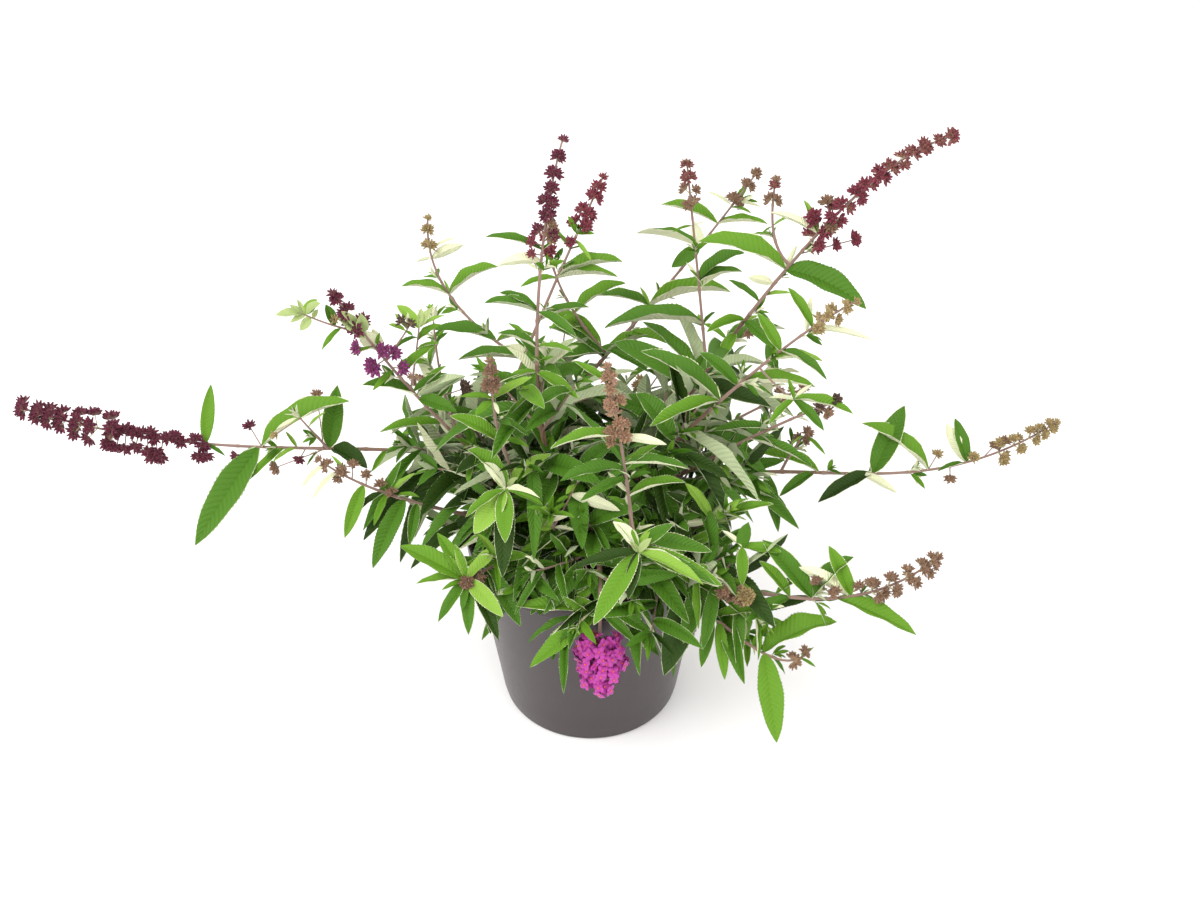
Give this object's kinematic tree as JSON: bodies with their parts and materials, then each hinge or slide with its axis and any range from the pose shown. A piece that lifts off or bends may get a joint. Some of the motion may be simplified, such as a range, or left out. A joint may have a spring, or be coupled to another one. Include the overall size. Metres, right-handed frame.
{
  "type": "potted butterfly bush",
  "caption": "Young butterfly bush in a round plastic nursery pot, spreading wider than tall, with lance-shaped leaves, spent flower spikes and a last fresh flower head.",
  "frame": {"origin": "centre of the pot's flat underside", "axes": "-Z out of the underside, +X along the longest spread of the shoots, +Y to the back of the plant"},
  "size_m": [0.7976, 0.3484, 0.4737],
  "materials": {
    "pot": "dark taupe moulded plastic, satin",
    "soil": "damp dark compost, rough",
    "bark": "thin brown bark with a mauve tinge",
    "foliage": "soft matt leaves, green above and felted cream below",
    "blossom": "soft magenta florets with orange eyes"
  },
  "bodies": {
    "root": {"pot": "pot", "soil": "soil", "crown": "bark", "bough_far_left": "bark", "bough_left_low": "bark", "bough_left_high": "bark", "bough_back_left": "bark", "bough_tall_middle": "bark", "bough_back_right": "bark", "bough_right_high": "bark", "bough_right_middle": "bark", "bough_right_small": "bark", "bough_far_right": "bark", "bough_low_right": "bark", "bough_front_right": "bark", "bough_hanging_right": "bark", "bough_leafy_right": "bark", "bough_front_middle": "bark", "bough_leafy_front": "bark", "bough_fresh_flower": "bark", "bough_front_left": "bark", "bough_low_left": "bark", "bough_rear_left": "bark", "bough_rear_mid_left": "bark", "bough_rear_mid_right": "bark", "bough_rear_right": "bark", "mass_far_left": "foliage", "mass_left_low": "foliage", "mass_left_high": "foliage", "mass_back_left": "foliage", "mass_tall_middle": "foliage", "mass_back_right": "foliage", "mass_right_high": "foliage", "mass_right_middle": "foliage", "mass_right_small": "foliage", "mass_far_right": "foliage", "mass_low_right": "foliage", "mass_front_right": "foliage", "mass_hanging_right": "foliage", "mass_leafy_right": "foliage", "mass_front_middle": "foliage", "mass_leafy_front": "foliage", "mass_fresh_flower": "blossom", "mass_front_left": "foliage", "mass_low_left": "foliage", "mass_rear_left": "foliage", "mass_rear_mid_left": "foliage", "mass_rear_mid_right": "foliage", "mass_rear_right": "foliage"}
  },
  "joints": []
}
